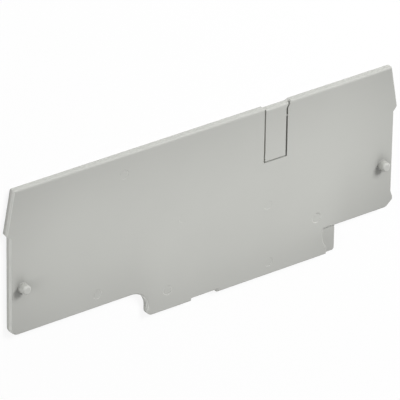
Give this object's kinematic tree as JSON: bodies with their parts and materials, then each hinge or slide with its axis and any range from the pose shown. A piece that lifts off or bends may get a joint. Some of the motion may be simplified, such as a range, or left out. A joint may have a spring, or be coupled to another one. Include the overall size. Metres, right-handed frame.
{
  "type": "terminal block end cover",
  "caption": "Flat moulded cover that closes the open side of a rail-mounted terminal block, with a foot, a break-out tab and two locating pins.",
  "frame": {"origin": "under the middle of the outline, on the plain outer face that the cover lies on", "axes": "+X along the cover, +Y towards the edge that is on top in use, +Z out of the inner face, the way the pins point"},
  "size_m": [0.0722, 0.0292, 0.0025],
  "materials": {
    "grey_plastic": "fine matt moulded surface"
  },
  "bodies": {
    "root": {"end_cover": "grey_plastic"}
  },
  "joints": []
}
